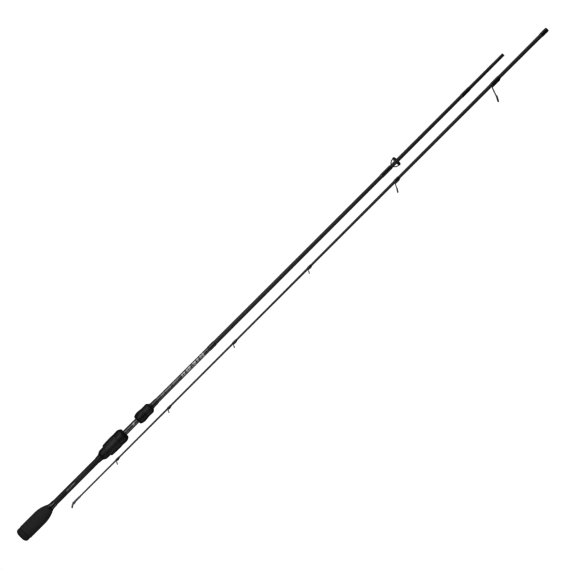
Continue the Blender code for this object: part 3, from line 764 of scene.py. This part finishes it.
def cut_away(piece, bm):
    """Cut a mesh in millimetres on the butt section away from a piece, and keep the result."""
    bmesh.ops.recalc_face_normals(bm, faces=bm.faces)
    mesh = bpy.data.meshes.new("tool")
    bm.to_mesh(mesh)
    bm.free()
    mesh.transform(BUTT.to_frame)
    tool = bpy.data.objects.new("tool", mesh)
    bpy.context.scene.collection.objects.link(tool)
    modifier = piece.modifiers.new("cut", "BOOLEAN")
    modifier.operation = "DIFFERENCE"
    modifier.solver = "EXACT"
    modifier.object = tool
    bpy.context.view_layer.update()
    result = bpy.data.meshes.new_from_object(piece.evaluated_get(bpy.context.evaluated_depsgraph_get()))
    piece.modifiers.clear()
    old = piece.data
    piece.data = result
    bpy.data.meshes.remove(old)
    bpy.data.objects.remove(tool)
    bpy.data.meshes.remove(mesh)
    result.shade_smooth()
    result.set_sharp_from_angle(angle=radians(SHARP))


def hood_skin(node, start, end, soften):
    """The hood's outside, measured all round because it is deeper underneath."""
    places = np.linspace(start, end, int(round((end - start) / HOOD_STEP)) + 1)
    grid = np.array([BUTT.girth(node, kept_inside(p, start, end, INSET)) for p in places])
    grid = blurred(grid, soften / HOOD_STEP)
    return places, blurred(grid.T, HOOD_BLUR, around=True).T


def end_roll(places, grid, size, at_start):
    """Round a hood's rim over, size millimetres deep, at its start or at its end."""
    edge = places[0] if at_start else places[-1]
    rings = []
    for step in range(ROLL_STEPS + 1):
        turn = pi / 2 * step / ROLL_STEPS
        inward = size * (1 - sin(turn))
        shift = size * (1 - cos(turn))
        along = edge + shift if at_start else edge - shift
        radii = np.array([np.interp(along, places, column) for column in grid.T]) - inward
        rings.append((along, radii))
    return rings if at_start else rings[::-1]


def hood_rings(node, start, end, soften, rolls):
    """The outside of a hood. rolls holds the sizes of the rounded rims at its start and its end."""
    places, grid = hood_skin(node, start, end, soften)
    middle = [(p, radii) for p, radii in zip(places, grid) if start + rolls[0] < p < end - rolls[1]]
    rows = end_roll(places, grid, rolls[0], True) + middle + end_roll(places, grid, rolls[1], False)
    return [ring(along, radii) for along, radii in rows]


def make_moving_hood():
    start, end = BUTT.span("moving_hood")
    front = start + FLANGE_LENGTH
    shoulder = BUTT.span("lock_nut_sleeve")[1] + 0.4
    turned = [(start, MOVING_BORE), (start, FLANGE_RADIUS), (front, FLANGE_RADIUS)]
    turned += [(front, SPIGOT_RADIUS), (shoulder, SPIGOT_RADIUS)]
    rings = [ring(along, radius) for along, radius in turned]
    rings += hood_rings("moving_hood", shoulder, end, 0.7, rolls=(0.3, 0.35)) + [ring(end, MOVING_BORE)]
    bm = bmesh.new()
    add_rings(bm, rings, loop=True)
    hood = add_piece("sliding_hood", BUTT, bm, SATIN, ["moving_hood"], body="moving_hood")
    cut_pocket(hood, end, MOVING_POCKET, -1)


def make_fixed_hood():
    """The hood, and the tongue that sticks out of it under the blank."""
    tongue, end = BUTT.span("fixed_hood")
    start = FIXED_HOOD_MOUTH
    rings = [ring(start, FRONT_BORE)] + hood_rings("fixed_hood", start, end, 0.7, rolls=(0.4, 0.1))
    bm = bmesh.new()
    add_rings(bm, rings + [ring(end, FRONT_BORE)], loop=True)
    hood = add_piece("front_hood", BUTT, bm, SATIN, ["fixed_hood"])
    cut_pocket(hood, start, FIXED_POCKET, 1)
    outline = tongue_section()
    tip = [(y * 0.93, -TONGUE_LOW + (z + TONGUE_LOW) * 0.88 + 0.15) for y, z in outline]
    stations = ((tongue, tip), (tongue + 0.5, outline), (start + 0.9, outline))
    bm = bmesh.new()
    add_rings(bm, [[Vector((x, y, z)) for y, z in points] for x, points in stations], capped=True)
    add_piece("foot_bed", BUTT, bm, SATIN)


def tongue_section():
    """The tongue's cross-section as (y, z): flat below, crowned above where it meets the blank."""
    half, low, corner, crown = TONGUE_HALF_WIDTH, TONGUE_LOW, 0.6, 0.9
    turns = np.linspace(0, pi, 9)
    points = [(half * cos(turn), -(TONGUE_HIGH + crown - crown * sin(turn))) for turn in turns]
    points += [(-half, corner - low), (corner - half, -low), (half - corner, -low), (half, corner - low)]
    return points


def make_lock_nut():
    """The cone and its fluted ring, the neck under the sleeve, and the bore with its steps."""
    start, end = BUTT.span("lock_nut")
    rim = BUTT.span("lock_nut_sleeve")[0] - 0.5
    cone, lip, cavity = start + CONE_LENGTH, end - LIP_DEPTH, end - CAVITY_DEPTH
    inside = [(rim, NECK_RADIUS, 0.1), (end, NECK_RADIUS), (end, LIP_BORE), (lip, LIP_BORE)]
    inside += [(lip, CAVITY_BORE), (cavity, CAVITY_BORE), (cavity, NUT_THREAD_BORE)]
    inside += [(cone, NUT_THREAD_BORE), (cone, NUT_BORE), (start, NUT_BORE)]
    corners = FLUTES * 8
    flutes = np.array([max(0.0, cos(2 * pi * k * FLUTES / corners)) for k in range(corners)])
    rings = []
    for along, radius in traced(BUTT, "lock_nut", start, rim, step=0.3, soften=0.5):
        fade = min(1.0, (along - start - FLUTE_START) / FLUTE_FADE, (rim - 0.7 - along) / FLUTE_FADE)
        rings.append(ring(along, radius - FLUTE_DEPTH * max(0.0, fade) * flutes, corners))
    rings += [ring(along, radius, corners) for along, radius in filleted(inside)]
    bm = bmesh.new()
    add_rings(bm, rings, loop=True)
    add_piece("turning_nut", BUTT, bm, SATIN, ["lock_nut"], body="lock_nut")
    bore = NECK_RADIUS + SLEEVE_CLEAR
    outline = sleeve_outline(BUTT, "lock_nut_sleeve", 1.0, 0.15, step=0.4, bore=bore, closer=(0.1, 0.3))
    lathe("nut_foam", BUTT, outline, SATIN_FOAM, ["lock_nut_sleeve"], body="lock_nut")


def thread_height(share):
    """Height of the thread at a share of its pitch, 1 on its crest."""
    return float(np.interp(share % 1.0, (0.22, 0.36, 0.64, 0.78), (0, 1, 1, 0)))


def make_barrel():
    """The threaded barrel, with its keyway on top."""
    start, end = BUTT.span("seat_barrel")
    rings = [ring(start, BARREL_BORE, BARREL_CORNERS)]
    for along in np.arange(start, end + 0.01, BARREL_STEP):
        fade = min(1.0, (along - start) / THREAD_PITCH, (end - along) / THREAD_PITCH)
        points = []
        for k in range(BARREL_CORNERS):
            share = (along - start) / THREAD_PITCH - k / BARREL_CORNERS
            radius = THREAD_ROOT + (THREAD_CREST - THREAD_ROOT) * thread_height(share) * max(fade, 0)
            point = ring_point(along, radius, 2 * pi * k / BARREL_CORNERS)
            if abs(point.y) < KEYWAY_HALF_WIDTH and point.z > KEYWAY_FLOOR:
                point.z = KEYWAY_FLOOR
            points.append(point)
        rings.append(points)
    rings.append(ring(end, BARREL_BORE, BARREL_CORNERS))
    bm = bmesh.new()
    add_rings(bm, rings, loop=True)
    add_piece("screw_barrel", BUTT, bm, SATIN, ["seat_barrel"])


# ---------------------------------------------------------------- thread wraps and guides

def run_out(edge, length, power):
    """How much of its height a wrap has at a distance from its end."""
    return 1 - np.exp(-(edge / length) ** power)


def make_plain_wrap(name, section, node):
    """A band of thread under epoxy, which runs out thin at both ends."""
    start, end = section.span(node)
    middle = (start + end) / 2
    height = section.reach(node, middle, SKEW) - section.radius(middle)
    outline = []
    for share in np.linspace(0, 1, 25):
        along = start + (end - start) * share
        edge = min(share, 1 - share) * (end - start)
        lift = height * run_out(edge, 0.7, 1.3) + 0.04
        outline.append((along, section.radius(along) + lift))
    outline += [(p, section.radius(p) - WRAP_SUNK) for p in (end, start)]
    lathe(name, section, outline, WRAP, [node], corners=TUBE_ROUND)


def make_guide_wrap(name, section):
    """The wrap over a guide's foot: round on top, swollen underneath, pinched beside the foot."""
    node = f"{name}_wrap"
    start, end = section.span(node)
    places = np.linspace(start, end, int((end - start) / 0.5) + 1)
    grid = []
    for place in places:
        skin = section.girth(node, kept_inside(place, start, end, 0.9))
        edge = min(place - start, (end - place) * 1.6)
        base = section.radius(place) + 0.03
        grid.append(base + (skin - base) * run_out(max(edge, 0), 0.8, 1.2))
    grid = blurred(blurred(np.array(grid), 1.2).T, 1.5, around=True).T
    inner = [ring(p, section.radius(p) - WRAP_SUNK) for p in (end, start)]
    bm = bmesh.new()
    add_rings(bm, [ring(p, radii) for p, radii in zip(places, grid)] + inner, loop=True)
    add_piece(f"{name}_thread", section, bm, WRAP, [node])


class RingPlace:
    """Where a ceramic ring stands, measured from its node."""

    def __init__(self, section, node):
        points = np.array([tuple(point) for point in section.points(node)])
        centre = (points.max(0) + points.min(0)) / 2
        thinnest = np.linalg.eigh(np.cov((points - points.mean(0)).T))[1][:, 0]
        normal = thinnest if thinnest[0] > 0 else -thinnest
        offset = (points - centre) @ normal
        flat = np.linalg.norm((points - centre) - np.outer(offset, normal), axis=1)
        self.centre = Vector(centre)
        self.normal = Vector(normal)
        self.outward = Vector((0, 1, 0)).cross(self.normal)
        self.outer = float(flat.max())
        self.half = float(flat.max() - flat.min()) / 2
        self.depth = float(abs(offset).max())

    def spot(self, radius, degrees, side):
        """A point on a circle in the ring's plane, from its side towards its far edge."""
        turn = radians(degrees)
        return self.centre + (Vector((0, side * cos(turn), 0)) + self.outward * sin(turn)) * radius


def rounded_path(points, times=3):
    """A path with its corners cut off again and again, until it bends smoothly."""
    for _ in range(times):
        cut = [points[0]]
        for one, two in zip(points, points[1:]):
            cut += [one.lerp(two, 0.25), one.lerp(two, 0.75)]
        points = cut + [points[-1]]
    return points


def add_leg(bm, place, knee, foot_start, radius, wire, side):
    """A leg from the foot, bowed outwards and laid along the ring's side, where it thins out."""
    rim = [place.spot(radius, degrees, side) for degrees in LEG_HUG]
    bend = knee.lerp(rim[0], LEG_BEND)
    bend.y = rim[0].y * LEG_BEND_WIDTH
    path = rounded_path([foot_start, knee, bend, *rim])
    thinning = max(1, int(len(path) * LEG_THIN))
    sizes = []
    for number in range(len(path)):
        left = min(1.0, (len(path) - 1 - number) / thinning)
        sizes.append((wire * (LEG_THIN + (1 - LEG_THIN) * left),) * 2)
    sweep(bm, path, sizes)


def make_guide(name, section):
    wire = GUIDE_WIRES[name]
    place = RingPlace(section, f"{name}_ring")
    holder = place.outer + GLUE_LINE + wire
    leg = section.span(f"{name}_wrap")[1] + LEG_START
    level = section.radius(leg) + GLUE_LINE + wire
    bm = bmesh.new()
    add_band(bm, place.centre, place.normal, holder, wire, wire * HOLDER_DEPTH, 2.5)
    for side in (1, -1):
        knee = Vector((leg + wire + LEG_CLEAR, side * wire, -level))
        foot_start = knee + Vector((-LEG_TAIL, -side * wire * 0.3, 0))
        add_leg(bm, place, knee, foot_start, holder + wire * 0.3, wire, side)
    toe = section.span(f"{name}_frame")[0]
    half_width = FOOT_WIDTH * wire / 2
    foot, sizes = [], []
    for share in np.linspace(0, 1, 10):
        along = toe + (leg + wire - toe) * share
        foot.append(Vector((along, 0, -section.radius(along) - GLUE_LINE - wire / 2)))
        sizes.append((half_width * (0.45 + 0.55 * share), wire * (0.2 + 0.3 * min(1, share * 2))))
    sweep(bm, foot, sizes, power=3.0)
    add_piece(f"{name}_holder", section, bm, PLATING, [f"{name}_frame"], sharp=SHARP_WIRE)
    make_ceramic(name, section, place)
    make_guide_wrap(name, section)


def make_ceramic(name, section, place):
    bm = bmesh.new()
    add_band(bm, place.centre, place.normal, place.outer - place.half, place.half, place.depth, 2.3)
    add_piece(f"{name}_ceramic", section, bm, CERAMIC, [f"{name}_ring"])


def make_tip_top():
    """A tube over the tip, a ring on its end, and a forked brace behind the ring."""
    place = RingPlace(TIP, "tip_top_ring")
    start = TIP.span("tip_top_frame")[0]
    end = TIP.span("tip_blank")[1] + TIP_TOP_REACH
    radius = TIP_TOP_RADIUS
    outline = [(start, TIP.radius(start) + 0.05), (start, radius - 0.15, 0.1), (start + 0.8, radius, 0.4)]
    outline += [(end - 0.1, radius, 0.5), (end, 0.5, 0.3), (end, 0.0)]
    bm = bmesh.new()
    add_rings(bm, [ring(along, r, FINE) for along, r in filleted(outline)])
    holder = place.outer + GLUE_LINE + TIP_TOP_WIRE
    add_band(bm, place.centre, place.normal, holder, TIP_TOP_WIRE, TIP_TOP_DEPTH, 2.5, corners=TUBE_ROUND)
    for side in (1, -1):
        foot = Vector((end - 5.0, side * 0.3, -radius))
        knee = foot + Vector((1.6, side * 0.45, -0.35))
        rim = [place.spot(holder, degrees, side) for degrees in BRACE_HUG]
        path = rounded_path([foot, knee, knee.lerp(rim[0], 0.5), *rim])
        sizes = [(BRACE_WIRE * min(1, 0.4 + (len(path) - n) / 20),) * 2 for n in range(len(path))]
        sweep(bm, path, sizes)
    add_piece("tip_top_holder", TIP, bm, PLATING, ["tip_top_frame"], sharp=SHARP_WIRE)
    make_ceramic("tip_top", TIP, place)


# ---------------------------------------------------------------- stage

def dress_hidden_nodes():
    """CAD nodes that stay: both arbors and the ferrule plug."""
    for node, material in (("rear_arbor", FOAM), ("front_arbor", FOAM), ("ferrule_plug", RUBBER)):
        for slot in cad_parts[node].material_slots:
            slot.material = material


def show_white(tree, mirrored, strength):
    """White where the camera looks, and of another brightness where the rod mirrors it."""
    path = tree.nodes.new("ShaderNodeLightPath")
    spread = tree.nodes.new("ShaderNodeMapRange")
    spread.inputs["To Min"].default_value = mirrored
    spread.inputs["To Max"].default_value = WHITE
    tree.links.new(path.outputs["Is Camera Ray"], spread.inputs["Value"])
    tree.links.new(spread.outputs[0], strength)


def floor_material():
    """A white floor without shadows, which the rod's sides hardly mirror."""
    material = bpy.data.materials.new("floor_white")
    material.use_nodes = True
    tree = material.node_tree
    tree.nodes.clear()
    output = tree.nodes.new("ShaderNodeOutputMaterial")
    glow = tree.nodes.new("ShaderNodeEmission")
    show_white(tree, FLOOR_MIRRORED, glow.inputs["Strength"])
    tree.links.new(glow.outputs[0], output.inputs["Surface"])
    return material


def make_floor():
    half = FLOOR_SIZE / 2
    level = cad_box[0].z - FLOOR_DROP
    corners = [(-half, -half, level), (half, -half, level), (half, half, level), (-half, half, level)]
    mesh = bpy.data.meshes.new("floor")
    mesh.from_pydata(corners, [], [(0, 1, 2, 3)])
    mesh.materials.append(floor_material())
    floor = bpy.data.objects.new("floor", mesh)
    bpy.context.scene.collection.objects.link(floor)


def make_world():
    """White all round for the camera, dim for what the rod mirrors."""
    world = bpy.data.worlds.new("studio")
    bpy.context.scene.world = world
    world.use_nodes = True
    background = world.node_tree.nodes["Background"]
    background.inputs["Color"].default_value = (1, 1, 1, 1)
    show_white(world.node_tree, SKY_MIRRORED, background.inputs["Strength"])


def make_softbox(name, place, size, power, aim):
    lamp = bpy.data.lights.new(name, "AREA")
    lamp.shape = "RECTANGLE"
    lamp.size, lamp.size_y = size
    lamp.energy = power
    box = bpy.data.objects.new(name, lamp)
    box.location = place
    box.rotation_mode = "QUATERNION"
    box.rotation_quaternion = (Vector(aim) - Vector(place)).to_track_quat("-Z", "Y")
    box.visible_camera = False
    bpy.context.scene.collection.objects.link(box)


def make_lights():
    middle = (cad_box[0] + cad_box[1]) / 2
    for name, along, offset, size, power in SOFTBOXES:
        aim = Vector((along, middle.y, middle.z))
        make_softbox(name, aim + Vector(offset), size, power, aim)


def make_camera():
    lens = bpy.data.cameras.new("camera")
    lens.type = "PERSP"
    lens.sensor_width = 36.0
    lens.lens = lens.sensor_width * CAMERA_HEIGHT / CAMERA_WIDTH
    lens.clip_start = 0.1
    lens.clip_end = 100.0
    camera = bpy.data.objects.new("camera", lens)
    camera.location = Vector((*CAMERA_AIM, CAMERA_HEIGHT)) * MM
    camera.rotation_euler = (0, 0, radians(CAMERA_TURN))
    bpy.context.scene.collection.objects.link(camera)
    bpy.context.scene.camera = camera
    bpy.context.scene.view_settings.view_transform = "Standard"
    bpy.context.scene.view_settings.gamma = CONTRAST


# ---------------------------------------------------------------- the rod

make_butt_blank()
make_tip_blank()
make_printed_marks()
make_grips()
make_barrel()
make_lock_nut()
make_moving_hood()
make_fixed_hood()
make_plain_wrap("trim_wrap", BUTT, "label_wrap")
make_plain_wrap("ferrule_thread", BUTT, "ferrule_wrap")
make_plain_wrap("socket_thread", TIP, "socket_wrap")
for guide_name in GUIDE_WIRES:
    make_guide(guide_name, BUTT if guide_name == "butt_guide" else TIP)
make_tip_top()
dress_hidden_nodes()
make_floor()
make_world()
make_lights()
make_camera()
